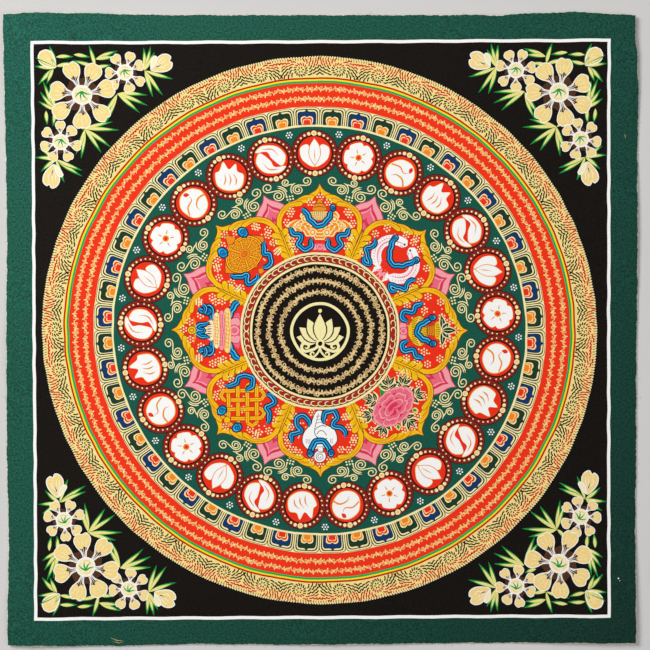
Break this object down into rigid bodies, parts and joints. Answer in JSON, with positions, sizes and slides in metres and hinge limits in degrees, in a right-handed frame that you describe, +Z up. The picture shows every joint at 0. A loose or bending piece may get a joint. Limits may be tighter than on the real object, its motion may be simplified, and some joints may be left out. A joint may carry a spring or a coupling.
{
  "type": "painted cotton mandala thangka sheet",
  "caption": "Unmounted thangka painting: a square sheet of primed cotton canvas with raw cut edges, painted with a round lotus mandala and corner flower sprays, lying face up.",
  "frame": {"origin": "middle of the sheet's bounding box, on the surface that the sheet lies on", "axes": "+X to the right of the picture, +Y to its top, +Z up out of the painted face"},
  "size_m": [0.3994, 0.3988, 0.004],
  "materials": {
    "painted_canvas": "matt paint on primed cotton, with a faint weave"
  },
  "bodies": {
    "root": {"painted_canvas": "painted_canvas"}
  },
  "joints": []
}
